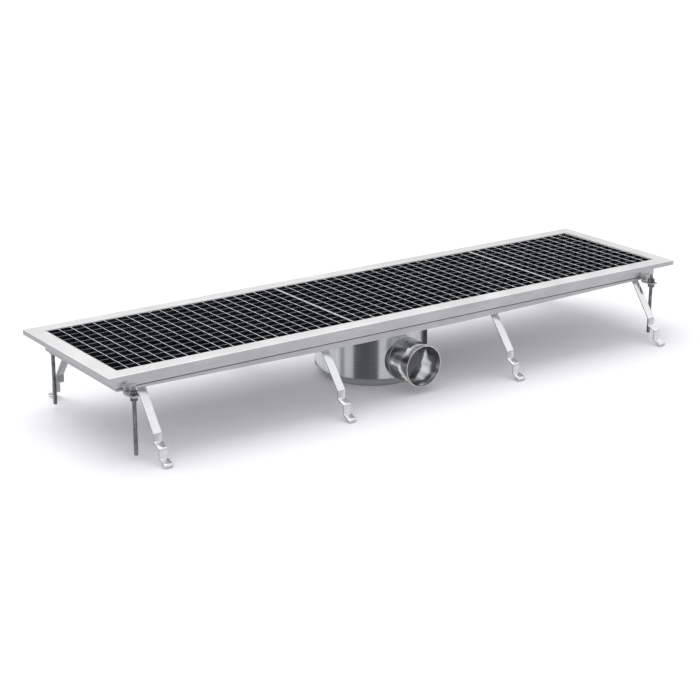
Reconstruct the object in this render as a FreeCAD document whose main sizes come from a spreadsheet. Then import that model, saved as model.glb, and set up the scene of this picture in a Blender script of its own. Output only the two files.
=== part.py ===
import FreeCAD, Part
import math
import os
import Sketcher
from FreeCAD import Placement, Rotation, Vector

# Channel drain with a central gully, three mesh gratings, levelling legs and cast-in anchor straps.
# Millimetres. The origin is on the floor under the middle of the gully. X runs along the channel,
# the outlet points to -Y, and Z is up.

os.makedirs("parts", exist_ok=True)
doc = FreeCAD.newDocument("channel_drain")
dims = doc.addObject("Spreadsheet::Sheet", "Dims")

# Driving dimensions: alias, value and meaning
DRIVING = [
    ("rim_height", 216, "top of the rim above the floor"),
    ("opening_length", 1710, "clear length of the channel mouth"),
    ("opening_width", 370, "clear width of the channel mouth"),
    ("flange_width", 40, "width of the flat rim round the mouth"),
    ("skirt_height", 13, "height of the turned-down edge of the rim"),
    ("sheet", 2, "thickness of the folded stainless sheet"),
    ("rim_round", 1.5, "outer bend radius along the edge of the rim"),
    ("wall_height", 43, "depth of the side walls below the top of the rim"),
    ("ledge_width", 12, "width of the ledge that carries the gratings"),
    ("pan_inset", 1, "step from the side wall in to the side of the pan"),
    ("pan_end_depth", 51, "depth of the underside of the pan at its ends"),
    ("pan_mid_depth", 62, "depth of the underside of the pan at the gully"),
    ("pan_flat_margin", 10, "level stretch of the pan beyond the pot, on each side along it"),
    ("gully_diameter", 300, "outside diameter of the gully pot"),
    ("base_step", 22, "step from the wall of the pot in to its base"),
    ("base_cone_height", 25, "height of the tapered foot of the pot"),
    ("outlet_diameter", 110, "outside diameter of the outlet pipe"),
    ("outlet_wall", 2, "wall of the outlet pipe"),
    ("outlet_depth", 142, "axis of the outlet pipe below the top of the rim"),
    ("outlet_length", 78, "length of the outlet pipe beyond its neck"),
    ("neck_thickness", 3.5, "wall of the neck on the pot that the outlet pipe is welded to"),
    ("neck_length", 4, "length of the neck beyond the wall of the pot"),
    ("grating_depth", 30, "depth of a grating"),
    ("grating_drop", 1, "top of the gratings below the top of the rim"),
    ("grating_gap", 2, "gap round and between the gratings"),
    ("grating_long", 665, "length of the left and middle gratings"),
    ("edge_bar", 3, "thickness of the edge bars of a grating"),
    ("bearing_bar", 2.5, "thickness of the bearing bars"),
    ("binding_bar", 3, "width of the binding bars that lie on the bearing bars"),
    ("binding_depth", 5, "depth of the binding bars"),
    ("mesh_pitch", 31.5, "pitch of the bars both ways"),
    ("leg_from_end", 30, "axis of a levelling leg from the end of the mouth, along the channel"),
    ("leg_offset", 24, "axis of a leg from the side wall"),
    ("bracket_width", 32, "width of a leg bracket"),
    ("bracket_thickness", 4, "thickness of a leg bracket"),
    ("bracket_reach", 38, "reach of the bracket from the side wall"),
    ("bracket_top", 38, "top edge of the bracket below the top of the rim"),
    ("bracket_bottom", 60, "underside of the bracket below the top of the rim"),
    ("rod_diameter", 10, "diameter of a threaded rod"),
    ("rod_top", 37, "top end of a rod below the top of the rim"),
    ("rod_foot", 11, "lower end of a rod above the floor"),
    ("rod_clearance", 0.05, "radial running clearance of the rod in its nuts"),
    ("hole_clearance", 0.5, "radial clearance of the rod in its bracket"),
    ("nut_width", 17, "width of a nut across its flats"),
    ("nut_height", 10, "height of a nut with its washer"),
    ("strap_width", 22, "width of an anchor strap"),
    ("strap_thickness", 3, "thickness of an anchor strap"),
    ("outer_strap_from_end", 65, "outer straps from the end of the mouth, along the channel"),
    ("inner_strap", 273, "inner straps from the middle of the channel, along it"),
    ("strap_tab", 22, "length of the tab that is welded under the pan"),
    ("strap_inset", 4, "outer end of the tab from the side of the pan"),
    ("strap_bend_out", 66, "knee of the strap beyond the side of the pan"),
    ("strap_bend_height", 70, "knee of the strap above the floor"),
    ("strap_riser_one", 20, "upper riser of the stepped end"),
    ("strap_tread_one", 25, "reach of the upper step"),
    ("strap_fall_one", 9.5, "fall of the upper step"),
    ("strap_riser_two", 25, "lower riser of the stepped end"),
    ("strap_tread_two", 22, "reach of the lower step"),
    ("strap_fall_two", 7, "fall of the lower step"),
    ("strap_lip_reach", 3, "reach of the end lip"),
    ("strap_lip_fall", 6, "fall of the end lip"),
    ("funnel_lap", 8, "lap of the trap funnel on the floor of the pan"),
    ("dip_diameter", 116, "outside diameter of the dip tube"),
    ("dip_gap", 22, "lower end of the dip tube above the floor of the cup"),
    ("cup_diameter", 180, "outside diameter of the trap cup"),
    ("cup_bottom", 24, "underside of the trap cup above the floor"),
    ("cup_drop", 46, "rim of the trap cup below the underside of the pan at the gully"),
    ("hangers", 3, "hangers round the cup"),
    ("hanger_width", 20, "width of a hanger of the cup"),
    ("hanger_lap", 8, "lap of the hangers on the wall of the cup"),
    ("basket_wall", 1.5, "sheet of the sediment basket"),
    ("basket_play", 2, "radial play of the basket in the dip tube"),
    ("basket_lift", 22, "underside of the basket above the lower end of the dip tube"),
    ("basket_brim", 8, "width of the basket's brim outside the dip tube"),
    ("slot_width", 8, "width of a slot in the basket"),
    ("slot_start", 8, "lower end of the slots above the floor of the basket"),
    ("slot_drop", 34.5, "upper end of the slots below the flange of the funnel"),
    ("basket_slots", 6, "slots round the basket"),
    ("handle_width", 10, "width of the basket's handle"),
    ("handle_thickness", 2, "thickness of the basket's handle"),
    ("handle_rise", 14, "rise of the handle above the brim"),
]

# Half of the basket's handle: run outwards as a share of the brim, and height as a share of the rise
HANDLE_HALF = ((1.0, 0.0), (0.82, 0.0), (0.5, 0.8), (0.18, 1.0))

# Sides of a nut, and flats of its bore
NUT_SIDES = 6
BORE_SIDES = 12

# How near two levels must be to count as one, in millimetres
SAME = 0.01

for row, (alias, value, meaning) in enumerate(DRIVING, start=1):
    dims.set("A%d" % row, alias)
    dims.set("B%d" % row, str(value))
    dims.set("C%d" % row, meaning)
    dims.setAlias("B%d" % row, alias)
doc.recompute()


def size(alias):
    """The value of one driving dimension, for the few places where code has to count or branch."""
    return float(getattr(dims, alias))


def d(words):
    """An expression in which each name of a driving dimension is read from the sheet."""
    aliases = sorted((row[0] for row in DRIVING), key=len, reverse=True)
    result = []
    for word in words.replace("(", " ( ").replace(")", " ) ").split():
        result.append("Dims." + word if word in aliases else word)
    return " ".join(result).replace("floor (", "floor(")


# Sizes that follow from the driving dimensions, as expressions
RIM_LENGTH = "( opening_length + 2 * flange_width )"
RIM_WIDTH = "( opening_width + 2 * flange_width )"
WALL_FACE = "( opening_width / 2 + sheet )"
PAN_HALF_LENGTH = "( opening_length / 2 + sheet - pan_inset )"
PAN_HALF_WIDTH = "( opening_width / 2 + sheet - pan_inset )"
PAN_TOP = "( rim_height - wall_height )"
PAN_END = "( rim_height - pan_end_depth )"
PAN_MID = "( rim_height - pan_mid_depth )"
PAN_FLAT = "( gully_diameter + 2 * pan_flat_margin )"
POT_BORE = "( gully_diameter / 2 - sheet )"
POT_BASE = "( gully_diameter / 2 - base_step )"
OUTLET_HEIGHT = "( rim_height - outlet_depth )"
NECK_REACH = "( gully_diameter / 2 + neck_length )"
GRATING_TOP = "( rim_height - grating_drop )"
GRATING_BOTTOM = "( rim_height - grating_drop - grating_depth )"
GRATING_WIDTH = "( opening_width - 2 * grating_gap )"
GRATING_SHORT = "( opening_length - 2 * grating_long - 4 * grating_gap )"
FLANGE_BASE = "( rim_height - pan_mid_depth + sheet )"
FLANGE_TOP = "( rim_height - pan_mid_depth + 2 * sheet )"
CUP_RIM = "( rim_height - pan_mid_depth - cup_drop )"
DIP_BOTTOM = "( cup_bottom + sheet + dip_gap )"
BASKET_BOTTOM = "( cup_bottom + sheet + dip_gap + basket_lift )"
BASKET_RADIUS = "( dip_diameter / 2 - sheet - basket_play )"
BRIM_TOP = "( rim_height - pan_mid_depth + 2 * sheet + basket_wall )"


def new_body(name):
    body = doc.addObject("PartDesign::Body", name)
    body.Label = name
    doc.recompute()
    return body


def origin_feature(body, role):
    return [feature for feature in body.Origin.OriginFeatures if feature.Role == role][0]


def new_sketch(body, name, role, offset=None):
    """A sketch on one of the body's origin planes, moved along that plane's normal by offset."""
    sketch = body.newObject("Sketcher::SketchObject", name)
    sketch.AttachmentSupport = [(origin_feature(body, role), "")]
    sketch.MapMode = "FlatFace"
    if offset:
        sketch.setExpression("AttachmentOffset.Base.z", d(offset))
    return sketch


def bind_point(sketch, edge, end, across, up, start):
    """Hold one end of an edge at the two expressions."""
    index = sketch.addConstraint(Sketcher.Constraint("DistanceX", -1, 1, edge, end, start.x))
    sketch.setExpression("Constraints[%d]" % index, d(across))
    index = sketch.addConstraint(Sketcher.Constraint("DistanceY", -1, 1, edge, end, start.y))
    sketch.setExpression("Constraints[%d]" % index, d(up))


def polyline(sketch, points, closed=True):
    """Straight edges through points, each given as two expressions."""
    count = len(points)
    first = sketch.GeometryCount
    ring = []
    for index in range(count):
        angle = 2 * math.pi * index / count
        ring.append(Vector(math.cos(angle), math.sin(angle), 0))
    edges = count if closed else count - 1
    for index in range(edges):
        sketch.addGeometry(Part.LineSegment(ring[index], ring[(index + 1) % count]), False)
    joins = edges if closed else edges - 1
    for index in range(joins):
        after = first + (index + 1) % edges
        sketch.addConstraint(Sketcher.Constraint("Coincident", first + index, 2, after, 1))
    for index, (across, up) in enumerate(points):
        if index < edges:
            bind_point(sketch, first + index, 1, across, up, ring[index])
        else:
            bind_point(sketch, first + index - 1, 2, across, up, ring[index])


def rectangle(sketch, left, right, low, high):
    polyline(sketch, [(left, low), (right, low), (right, high), (left, high)])


def centred_rectangle(sketch, length, width):
    half_length = length + " / 2"
    half_width = width + " / 2"
    rectangle(sketch, "-1 * " + half_length, half_length, "-1 * " + half_width, half_width)


def even_polygon(sketch, sides, apothem):
    """Equal sides round the origin, each at the apothem from it."""
    half_side = math.pi / sides
    points = []
    for step in range(sides):
        angle = 2 * half_side * step
        across = math.cos(angle) / math.cos(half_side)
        up = math.sin(angle) / math.cos(half_side)
        points.append(("( %s ) * %.9f" % (apothem, across), "( %s ) * %.9f" % (apothem, up)))
    polyline(sketch, points)


def circle(sketch, radius, up=None):
    """A circle on the sketch's upright axis."""
    index = sketch.addGeometry(Part.Circle(Vector(0, 1 if up else 0, 0), Vector(0, 0, 1), 1), False)
    if up:
        sketch.addConstraint(Sketcher.Constraint("PointOnObject", index, 3, -2))
        height = sketch.addConstraint(Sketcher.Constraint("DistanceY", -1, 1, index, 3, 1))
        sketch.setExpression("Constraints[%d]" % height, d(up))
    else:
        sketch.addConstraint(Sketcher.Constraint("Coincident", index, 3, -1, 1))
    wide = sketch.addConstraint(Sketcher.Constraint("Radius", index, 1))
    sketch.setExpression("Constraints[%d]" % wide, d(radius))


def pad(body, sketch, length, symmetric=False, reverse=False):
    feature = body.newObject("PartDesign::Pad", sketch.Name + "_pad")
    feature.Profile = sketch
    feature.setExpression("Length", d(length))
    feature.Reversed = reverse
    if symmetric:
        feature.SideType = "Symmetric"
    doc.recompute()
    return feature


def pocket(body, sketch, length=None, symmetric=False, reverse=False):
    """Cut, and stop if nothing was cut."""
    before = body.Shape.Volume
    feature = body.newObject("PartDesign::Pocket", sketch.Name + "_cut")
    feature.Profile = sketch
    feature.Reversed = reverse
    if symmetric:
        feature.SideType = "Symmetric"
    if length:
        feature.setExpression("Length", d(length))
    else:
        feature.Type = "ThroughAll"
    doc.recompute()
    if not body.Shape.Volume < before:
        raise RuntimeError(sketch.Name + " cuts nothing")
    return feature


def revolve(body, sketch, kind="Revolution"):
    feature = body.newObject("PartDesign::" + kind, sketch.Name + "_turn")
    feature.Profile = sketch
    feature.ReferenceAxis = (origin_feature(body, "Z_Axis"), [""])
    feature.Angle = 360
    doc.recompute()
    return feature


def turned(name, outline):
    """A sheet-metal ring or vessel: its section, turned about the upright axis."""
    body = new_body(name)
    section = new_sketch(body, name + "_section", "XZ_Plane")
    polyline(section, outline)
    revolve(body, section)
    return body


def linear_pattern(body, feature, role, length, count):
    pattern = body.newObject("PartDesign::LinearPattern", feature.Name + "_row")
    pattern.Originals = [feature]
    pattern.Direction = (origin_feature(body, role), [""])
    pattern.setExpression("Length", d(length))
    pattern.setExpression("Occurrences", d(count))
    body.Tip = pattern
    doc.recompute()
    return pattern


def polar_pattern(body, feature, count):
    pattern = body.newObject("PartDesign::PolarPattern", feature.Name + "_ring")
    pattern.Originals = [feature]
    pattern.Axis = (origin_feature(body, "Z_Axis"), [""])
    pattern.Angle = 360
    pattern.setExpression("Occurrences", d(count))
    body.Tip = pattern
    doc.recompute()
    return pattern


def place(body, across=None, along=None, up=None, turn=0):
    """Put a body in place, turned about the upright axis."""
    body.Placement = Placement(Vector(0, 0, 0), Rotation(Vector(0, 0, 1), turn))
    for axis, words in (("x", across), ("y", along), ("z", up)):
        if words:
            body.setExpression("Placement.Base." + axis, d(words))


# Rim: flat flange, turned-down skirt, side walls and the ledge for the gratings, one welded frame
def build_rim_frame():
    body = new_body("rim_frame")
    outer = new_sketch(body, "rim_outer", "XY_Plane", "rim_height")
    centred_rectangle(outer, RIM_LENGTH, RIM_WIDTH)
    pad(body, outer, "skirt_height", reverse=True)
    hollow = new_sketch(body, "rim_hollow", "XY_Plane", "rim_height - sheet")
    centred_rectangle(hollow, "( " + RIM_LENGTH + " - 2 * sheet )", "( " + RIM_WIDTH + " - 2 * sheet )")
    pocket(body, hollow, "skirt_height")
    walls = new_sketch(body, "tray_walls", "XY_Plane", "rim_height")
    centred_rectangle(walls, "( opening_length + 2 * sheet )", "( opening_width + 2 * sheet )")
    pad(body, walls, "wall_height", reverse=True)
    mouth = new_sketch(body, "tray_mouth", "XY_Plane", "rim_height")
    centred_rectangle(mouth, "( opening_length )", "( opening_width )")
    pocket(body, mouth)
    ledge = new_sketch(body, "grating_ledge", "XY_Plane", GRATING_BOTTOM)
    centred_rectangle(ledge, "( opening_length + sheet )", "( opening_width + sheet )")
    centred_rectangle(ledge, "( opening_length - 2 * ledge_width )", "( opening_width - 2 * ledge_width )")
    welded = pad(body, ledge, "sheet", reverse=True)
    top = size("rim_height")
    half_length = size("opening_length") / 2 + size("flange_width")
    half_width = size("opening_width") / 2 + size("flange_width")
    edges = []
    for number, edge in enumerate(body.Shape.Edges, start=1):
        box = edge.BoundBox
        on_top = abs(box.ZMin - top) < SAME and box.ZLength < SAME
        long_side = abs(abs(box.YMin) - half_width) < SAME and box.YLength < SAME
        short_side = abs(abs(box.XMin) - half_length) < SAME and box.XLength < SAME
        if on_top and (long_side or short_side):
            edges.append("Edge%d" % number)
    fillet = body.newObject("PartDesign::Fillet", "rim_bend")
    fillet.Base = (welded, edges)
    fillet.setExpression("Radius", d("rim_round"))
    doc.recompute()
    return body


# Pan: open tray whose floor falls from both ends to the level stretch over the gully
def build_sloped_pan():
    body = new_body("sloped_pan")
    outside = new_sketch(body, "pan_outside", "XZ_Plane")
    polyline(outside, [
        ("-1 * " + PAN_HALF_LENGTH, PAN_TOP),
        ("-1 * " + PAN_HALF_LENGTH, PAN_END),
        ("-1 * " + PAN_FLAT + " / 2", PAN_MID),
        (PAN_FLAT + " / 2", PAN_MID),
        (PAN_HALF_LENGTH, PAN_END),
        (PAN_HALF_LENGTH, PAN_TOP),
    ])
    pad(body, outside, "2 * " + PAN_HALF_WIDTH, symmetric=True)
    inner_length = "( " + PAN_HALF_LENGTH + " - sheet )"
    inside = new_sketch(body, "pan_inside", "XZ_Plane")
    polyline(inside, [
        ("-1 * " + inner_length, "( " + PAN_TOP + " + sheet )"),
        ("-1 * " + inner_length, "( " + PAN_END + " + sheet )"),
        ("-1 * " + PAN_FLAT + " / 2", "( " + PAN_MID + " + sheet )"),
        (PAN_FLAT + " / 2", "( " + PAN_MID + " + sheet )"),
        (inner_length, "( " + PAN_END + " + sheet )"),
        (inner_length, "( " + PAN_TOP + " + sheet )"),
    ])
    pocket(body, inside, "2 * ( " + PAN_HALF_WIDTH + " - sheet )", symmetric=True)
    drain = new_sketch(body, "pan_drain", "XY_Plane", PAN_TOP)
    circle(drain, POT_BORE)
    pocket(body, drain)
    return body


# Gully pot: cylinder with a tapered foot, and a neck for the outlet
def build_gully_pot():
    taper = "base_step / base_cone_height"
    body = turned("gully_pot", [
        ("0", "0"),
        (POT_BASE, "0"),
        ("gully_diameter / 2", "base_cone_height"),
        ("gully_diameter / 2", PAN_MID),
        ("0", PAN_MID),
    ])
    neck = new_sketch(body, "outlet_neck", "XZ_Plane", NECK_REACH)
    circle(neck, "outlet_diameter / 2 - outlet_wall + neck_thickness", OUTLET_HEIGHT)
    pad(body, neck, NECK_REACH, reverse=True)
    hollow = new_sketch(body, "pot_hollow", "XZ_Plane")
    polyline(hollow, [
        ("0", "sheet"),
        (POT_BASE + " - sheet + sheet * " + taper, "sheet"),
        (POT_BORE, "base_cone_height"),
        (POT_BORE, PAN_MID),
        ("0", PAN_MID),
    ])
    revolve(body, hollow, "Groove")
    port = new_sketch(body, "outlet_port", "XZ_Plane")
    circle(port, "outlet_diameter / 2 - outlet_wall", OUTLET_HEIGHT)
    pocket(body, port, "gully_diameter", reverse=True)
    return body


# Outlet: plain pipe, welded to the end of the neck
def build_outlet_pipe():
    body = new_body("outlet_pipe")
    ring = new_sketch(body, "outlet_ring", "XZ_Plane", NECK_REACH)
    circle(ring, "outlet_diameter / 2", OUTLET_HEIGHT)
    circle(ring, "outlet_diameter / 2 - outlet_wall", OUTLET_HEIGHT)
    pad(body, ring, "outlet_length")
    return body


def group(name, members):
    """One named piece made of several separate solids."""
    result = doc.addObject("Part::Compound", name)
    result.Links = members
    result.Label = name
    return result


def bar_row(name, outline, base, depth, role, length, count):
    """Equal bars in a row: the first one's outline, then the row's direction, length and count."""
    body = new_body(name)
    sketch = new_sketch(body, name + "_outline", "XY_Plane", base)
    rectangle(sketch, *outline)
    bar = pad(body, sketch, depth)
    linear_pattern(body, bar, role, length, count)
    return body


# Gratings: side bars, end bars and bearing bars, and binding bars that lie on the bearing bars. As
# many bars go in as there is room for at the pitch of the mesh.
def build_grating(side, length, middle):
    bearing_bars = "floor( ( " + length + " - 2 * edge_bar ) / mesh_pitch )"
    binding_bars = "floor( ( " + GRATING_WIDTH + " - 2 * edge_bar ) / mesh_pitch )"
    end = "( " + length + " / 2 )"
    inner_end = "( " + length + " / 2 - edge_bar )"
    edge = "( " + GRATING_WIDTH + " / 2 )"
    inner_edge = "( " + GRATING_WIDTH + " / 2 - edge_bar )"
    first_bearing = "-1 * ( " + bearing_bars + " - 1 ) * mesh_pitch / 2"
    first_binding = "-1 * ( " + binding_bars + " - 1 ) * mesh_pitch / 2"
    sides = bar_row(
        side + "_side_bars", ("-1 * " + end, end, "-1 * " + edge, "-1 * " + inner_edge),
        GRATING_BOTTOM, "grating_depth", "Y_Axis", GRATING_WIDTH + " - edge_bar", "2")
    ends = bar_row(
        side + "_end_bars", ("-1 * " + end, "-1 * " + inner_end, "-1 * " + inner_edge, inner_edge),
        GRATING_BOTTOM, "grating_depth", "X_Axis", length + " - edge_bar", "2")
    bearing = bar_row(
        side + "_bearing_bars",
        (first_bearing + " - bearing_bar / 2", first_bearing + " + bearing_bar / 2",
         "-1 * " + inner_edge, inner_edge),
        GRATING_BOTTOM, "grating_depth - binding_depth", "X_Axis",
        "( " + bearing_bars + " - 1 ) * mesh_pitch", bearing_bars)
    binding = bar_row(
        "binding_bars_" + side,
        ("-1 * " + inner_end, inner_end,
         first_binding + " - binding_bar / 2", first_binding + " + binding_bar / 2"),
        GRATING_TOP + " - binding_depth", "binding_depth", "Y_Axis",
        "( " + binding_bars + " - 1 ) * mesh_pitch", binding_bars)
    for row in (sides, ends, bearing, binding):
        place(row, across=middle)
    return [group("grating_" + side, [sides, ends, bearing]), binding]


# Levelling leg: bracket on the side wall, threaded rod with sawn ends, and a nut with its washer on
# each side of the bracket
def build_leg(corner, across, turn):
    wall = "-1 * " + WALL_FACE if turn else WALL_FACE
    axis = "( " + WALL_FACE + " + leg_offset )"
    axis = "-1 * " + axis if turn else axis
    plate_top = "( rim_height - bracket_bottom + bracket_thickness )"
    plate_bottom = "( rim_height - bracket_bottom )"

    bracket = new_body("leg_bracket_" + corner)
    fold = new_sketch(bracket, corner + "_fold", "YZ_Plane")
    polyline(fold, [
        ("0", plate_bottom),
        ("bracket_reach", plate_bottom),
        ("bracket_reach", plate_top),
        ("bracket_thickness", plate_top),
        ("bracket_thickness", "rim_height - bracket_top"),
        ("0", "rim_height - bracket_top"),
    ])
    pad(bracket, fold, "bracket_width", symmetric=True)
    hole = new_sketch(bracket, corner + "_hole", "XY_Plane", plate_top)
    circle(hole, "rod_diameter / 2 + hole_clearance", "leg_offset")
    pocket(bracket, hole)
    place(bracket, across, wall, turn=180 if turn else 0)

    rod = new_body("leg_rod_" + corner)
    section = new_sketch(rod, corner + "_rod", "XY_Plane", "rim_height - rod_top")
    circle(section, "rod_diameter / 2")
    pad(rod, section, "rim_height - rod_top - rod_foot", reverse=True)
    place(rod, across, axis)

    fasteners = {"leg_brackets": bracket}
    levels = (("upper", plate_top, False), ("lower", plate_bottom, True))
    for level, base, hangs in levels:
        nut = new_body("leg_nut_%s_%s" % (level, corner))
        flats = new_sketch(nut, "%s_%s_flats" % (corner, level), "XY_Plane", base)
        even_polygon(flats, NUT_SIDES, "nut_width / 2")
        even_polygon(flats, BORE_SIDES, "rod_diameter / 2 + rod_clearance")
        pad(nut, flats, "nut_height", reverse=hangs)
        place(nut, across, axis)
        fasteners["leg_nuts_" + level] = nut
    return rod, fasteners


# Anchor strap: tab under the pan, slanted leg, then a stepped end that grips the concrete
def build_strap(name, reach, across, turn):
    body = new_body(name)
    edge = "( " + reach + " - strap_width / 2 )"
    slope = "( pan_mid_depth - pan_end_depth ) / ( " + PAN_HALF_LENGTH + " - " + PAN_FLAT + " / 2 )"
    seat = "( " + PAN_MID + " + " + slope + " * ( " + edge + " - " + PAN_FLAT + " / 2 ) )"
    tab = "( " + seat + " - strap_thickness / 2 )"
    knee = "( " + PAN_HALF_WIDTH + " - strap_inset )"
    start = "( " + knee + " - strap_tab )"
    out = "( " + PAN_HALF_WIDTH + " + strap_bend_out )"
    up = "strap_bend_height"
    points = [(start, tab), (knee, tab), (out, up)]
    steps = (
        ("0", "strap_riser_one"),
        ("strap_tread_one", "strap_fall_one"),
        ("0", "strap_riser_two"),
        ("strap_tread_two", "strap_fall_two"),
        ("strap_lip_reach", "strap_lip_fall"),
    )
    for run, fall in steps:
        out = out + " + " + run
        up = up + " - " + fall
        points.append((out, up))
    path = new_sketch(body, name + "_path", "YZ_Plane")
    polyline(path, points, closed=False)
    section = new_sketch(body, name + "_section", "XZ_Plane", "-1 * " + start)
    rectangle(section, "-1 * strap_width / 2", "strap_width / 2",
              tab + " - strap_thickness / 2", tab + " + strap_thickness / 2")
    strip = body.newObject("PartDesign::AdditivePipe", name + "_strip")
    strip.Profile = section
    strip.Spine = (path, [])
    strip.Transition = "Right corner"
    doc.recompute()
    place(body, across, turn=180 if turn else 0)
    return body


# Trap insert: funnel that lies on the pan, with its dip tube and hanging cup, and a sediment basket
def build_trap():
    tube_bore = "( dip_diameter / 2 - sheet )"
    funnel = turned("trap_funnel", [
        (tube_bore, DIP_BOTTOM),
        ("dip_diameter / 2", DIP_BOTTOM),
        ("dip_diameter / 2", FLANGE_BASE),
        (POT_BORE + " + funnel_lap", FLANGE_BASE),
        (POT_BORE + " + funnel_lap", FLANGE_TOP),
        (tube_bore, FLANGE_TOP),
    ])
    cup_bore = "( cup_diameter / 2 - sheet )"
    cup = turned("trap_cup", [
        ("0", "cup_bottom"),
        ("cup_diameter / 2", "cup_bottom"),
        ("cup_diameter / 2", CUP_RIM),
        (cup_bore, CUP_RIM),
        (cup_bore, "cup_bottom + sheet"),
        ("0", "cup_bottom + sheet"),
    ])
    strip = new_sketch(cup, "cup_hanger", "XY_Plane", FLANGE_BASE)
    rectangle(strip, "-1 * hanger_width / 2", "hanger_width / 2", cup_bore, "cup_diameter / 2")
    hanger = pad(cup, strip, "( " + FLANGE_BASE + " - " + CUP_RIM + " + hanger_lap )", reverse=True)
    polar_pattern(cup, hanger, "hangers")

    inner = "( " + BASKET_RADIUS + " - basket_wall )"
    brim = "( dip_diameter / 2 + basket_brim )"
    basket = turned("sediment_basket", [
        ("0", BASKET_BOTTOM),
        (BASKET_RADIUS, BASKET_BOTTOM),
        (BASKET_RADIUS, FLANGE_TOP),
        (brim, FLANGE_TOP),
        (brim, BRIM_TOP),
        (inner, BRIM_TOP),
        (inner, BASKET_BOTTOM + " + basket_wall"),
        ("0", BASKET_BOTTOM + " + basket_wall"),
    ])
    slot = new_sketch(basket, "basket_slot", "XZ_Plane")
    low = "( " + BASKET_BOTTOM + " + basket_wall + slot_start )"
    high = "( " + FLANGE_TOP + " - slot_drop )"
    rectangle(slot, "-1 * slot_width / 2", "slot_width / 2", low, high)
    cut = pocket(basket, slot, "dip_diameter")
    polar_pattern(basket, cut, "basket_slots")
    arch = new_sketch(basket, "basket_handle", "XZ_Plane")
    handle_outline(arch, brim)
    pad(basket, arch, "handle_width", symmetric=True)
    return [funnel, cup, basket]


def handle_outline(sketch, brim):
    """A low arch from brim to brim, with level feet: its middle line is a chain of straight strips."""
    outer = []
    inner = []
    for run, rise in HANDLE_HALF:
        across = "%s * %.2f" % (brim, run)
        level = "( %s + handle_rise * %.2f )" % (BRIM_TOP, rise)
        inner.append((across, level))
        outer.append((across, "( " + level + " + handle_thickness )"))
    mirrored_outer = [("-1 * " + across, up) for across, up in reversed(outer)]
    mirrored_inner = [("-1 * " + across, up) for across, up in inner]
    polyline(sketch, outer + mirrored_outer + mirrored_inner + inner[::-1])


pieces = [build_rim_frame(), build_sloped_pan(), build_gully_pot(), build_outlet_pipe()]

left = "( opening_length / 2 - grating_gap - grating_long / 2 )"
pieces += build_grating("left", "( grating_long )", "-1 * " + left)
pieces += build_grating("middle", "( grating_long )", "-1 * " + left + " + grating_long + grating_gap")
pieces += build_grating("right", GRATING_SHORT,
                        "opening_length / 2 - grating_gap - " + GRATING_SHORT + " / 2")

leg_across = "( opening_length / 2 - leg_from_end )"
kits = []
for end, sign in (("left", "-1 * "), ("right", "")):
    for face, turn in (("front", True), ("back", False)):
        rod, fasteners = build_leg(face + "_" + end, sign + leg_across, turn)
        pieces.append(rod)
        kits.append(fasteners)
for name in kits[0]:
    pieces.append(group(name, [kit[name] for kit in kits]))

outer_across = "( opening_length / 2 - outer_strap_from_end )"
straps = (
    ("outer_left", outer_across, "-1 * "),
    ("inner_left", "inner_strap", "-1 * "),
    ("inner_right", "inner_strap", ""),
    ("outer_right", outer_across, ""),
)
for spot, reach, sign in straps:
    for face, turn in (("front", True), ("back", False)):
        pieces.append(build_strap("strap_%s_%s" % (face, spot), reach, sign + reach, turn))

pieces += build_trap()

doc.recompute()
for item in doc.Objects:
    if "Invalid" in item.State or "Error" in item.State:
        raise RuntimeError(item.Name + " failed")
for piece in pieces:
    shape = piece.Shape
    if shape.isNull() or not shape.isValid():
        raise RuntimeError(piece.Label + " has no sound shape")
for piece in pieces:
    piece.Shape.exportStep("parts/" + piece.Label + ".step")
    print(piece.Label, len(piece.Shape.Solids), round(piece.Shape.Volume, 1))
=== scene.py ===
# %% [markdown]
# # A stainless channel drain
# The object is a long drainage channel for a floor: a folded rim, three mesh gratings, a pan that falls
# to a gully pot, an outlet pipe, four threaded levelling legs and eight stepped anchor straps. The solid
# model gives every size and place. This lesson dresses it: it keeps the solids whose shape is right and
# builds finer pieces for the mesh, the threads, the nuts, the tube and the bent strips.

# %% Load the solid model
import bpy
import bmesh
import itertools
import math
from mathutils import Matrix, Vector


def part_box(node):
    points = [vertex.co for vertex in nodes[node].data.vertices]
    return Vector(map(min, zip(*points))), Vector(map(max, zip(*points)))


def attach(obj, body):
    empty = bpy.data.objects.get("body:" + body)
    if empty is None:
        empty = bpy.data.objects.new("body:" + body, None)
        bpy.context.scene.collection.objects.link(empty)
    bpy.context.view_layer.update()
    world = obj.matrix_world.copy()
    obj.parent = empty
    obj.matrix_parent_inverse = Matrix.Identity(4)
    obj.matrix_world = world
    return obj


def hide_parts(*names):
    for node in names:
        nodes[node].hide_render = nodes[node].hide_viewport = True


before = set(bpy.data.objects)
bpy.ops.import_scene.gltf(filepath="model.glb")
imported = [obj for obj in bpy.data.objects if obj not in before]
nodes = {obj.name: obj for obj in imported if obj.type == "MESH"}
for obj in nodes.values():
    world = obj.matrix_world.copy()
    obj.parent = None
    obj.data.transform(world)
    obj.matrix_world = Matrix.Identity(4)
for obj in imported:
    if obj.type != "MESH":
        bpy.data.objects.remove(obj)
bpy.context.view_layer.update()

# %% [markdown]
# ## Working in millimetres
# Sheet-metal sizes are read in millimetres, while the scene is in metres. One constant turns one into the
# other, and a few levels are read from the solids, so that nothing here has to guess where a piece is.
# Materials measure in metres, because the point that Blender gives them is in metres.

# %% Levels read from the solids
MM = 0.001
CHANNEL = "channel"
rim_low, rim_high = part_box("rim_frame")
pan_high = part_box("sloped_pan")[1]
pot_low, pot_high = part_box("gully_pot")
pipe_low, pipe_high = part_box("outlet_pipe")
pipe_axis = ((pipe_low.x + pipe_high.x) / 2, (pipe_low.z + pipe_high.z) / 2)
print("top of the rim at %.1f mm, pot %.1f mm wide" % (rim_high.z / MM, (pot_high.x - pot_low.x) / MM))

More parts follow.
